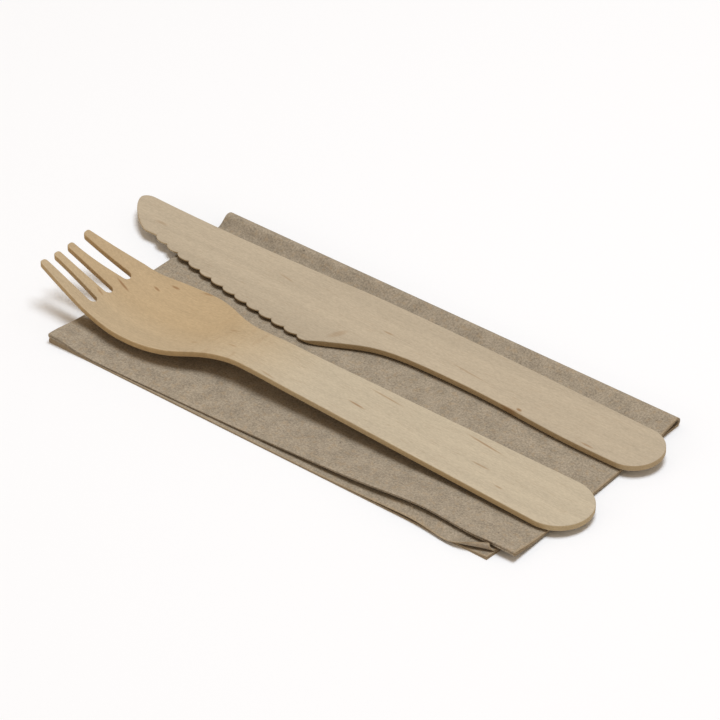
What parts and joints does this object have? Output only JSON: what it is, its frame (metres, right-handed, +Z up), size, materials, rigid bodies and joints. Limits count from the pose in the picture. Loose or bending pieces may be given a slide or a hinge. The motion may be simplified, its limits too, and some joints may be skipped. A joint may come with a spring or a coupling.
{
  "type": "wooden cutlery pack",
  "caption": "Disposable cutlery set: a pressed wooden fork and a serrated wooden knife lying on a folded brown paper napkin.",
  "frame": {"origin": "middle of the footprint of the whole pack, on the table", "axes": "+X runs from the tine tips to the handle ends, +Y from the loose edges of the napkin to its folded spine, +Z up"},
  "size_m": [0.1619, 0.07, 0.0121],
  "materials": {
    "brown_tissue": "unbleached brown crepe tissue, matt, mottled with fibres and small dark specks",
    "fork_wood": "uncoated birch veneer, hot pressed, fine long grain, smooth and matt",
    "knife_wood": "uncoated birch veneer, fine long grain, smooth and matt"
  },
  "bodies": {
    "root": {"napkin": "brown_tissue", "fork": "fork_wood", "knife": "knife_wood"}
  },
  "joints": []
}
